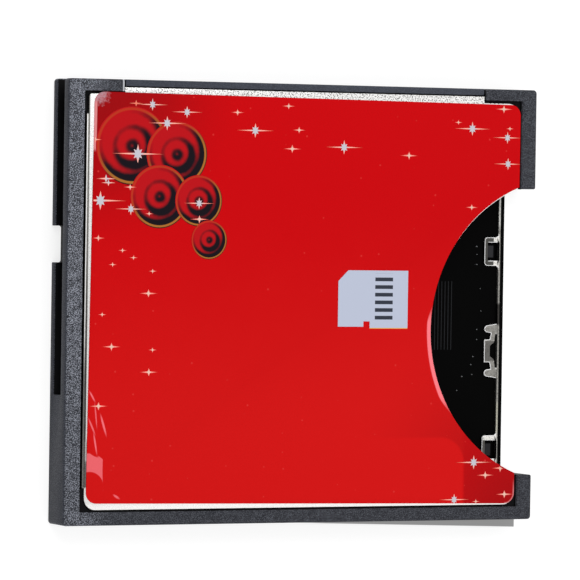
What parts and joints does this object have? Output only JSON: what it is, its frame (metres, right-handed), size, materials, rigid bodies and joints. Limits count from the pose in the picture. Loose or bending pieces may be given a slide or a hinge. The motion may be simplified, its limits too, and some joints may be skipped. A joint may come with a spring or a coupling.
{
  "type": "memory card adapter",
  "caption": "Flat card with a socket along one edge, steel covers, a red printed film and an open side slot for a smaller memory card.",
  "frame": {"origin": "middle of the card's outline on its rear face, which it lies on", "axes": "+Z out of the printed front face, +Y to the connector edge, +X to the side with the slot"},
  "size_m": [0.0428, 0.0364, 0.0033],
  "materials": {
    "frame_plastic": "fine spark-eroded moulding texture, charcoal",
    "housing_plastic": "smooth moulded, charcoal",
    "sheet_steel": "bright rolled stainless sheet",
    "printed_film": "glossy red printed film",
    "liner_film": "black film",
    "symbol_ink": "pale blue-white ink",
    "sparkle_ink": "pale ink with salmon points",
    "wave_ink": "dark red, black and gold ink",
    "contact_metal": "gold-plated copper alloy",
    "spring_metal": "plated phosphor bronze",
    "lead_metal": "tinned",
    "board_laminate": "green solder mask",
    "chip_mould": "black moulded package",
    "can_metal": "nickel-plated lid",
    "capacitor_ceramic": "tan ceramic",
    "resistor_ceramic": "black-faced ceramic",
    "carrier_plastic": "moulded black"
  },
  "bodies": {
    "root": {"frame": "frame_plastic", "connector_housing": "housing_plastic", "socket_contacts_upper": "contact_metal", "socket_contacts_lower": "contact_metal", "front_cover": "sheet_steel", "rear_cover": "sheet_steel", "slot_liner": "liner_film", "front_label": "printed_film", "circuit_board": "board_laminate", "controller_chip": "chip_mould", "controller_leads": "lead_metal", "clock_crystal": "can_metal", "voltage_regulator": "chip_mould", "regulator_leads": "lead_metal", "board_capacitors": "capacitor_ceramic", "board_resistors": "resistor_ceramic", "card_contact_carrier": "carrier_plastic", "card_contact_1": "spring_metal", "card_contact_2": "spring_metal", "card_contact_3": "spring_metal", "card_contact_4": "spring_metal", "card_contact_5": "spring_metal", "card_contact_6": "spring_metal", "card_contact_7": "spring_metal", "card_contact_8": "spring_metal", "card_contact_9": "spring_metal", "card_detect_spring": "spring_metal", "write_protect_spring": "spring_metal", "card_symbol": "symbol_ink", "sparkle_print": "sparkle_ink", "wave_print": "wave_ink"}
  },
  "joints": []
}
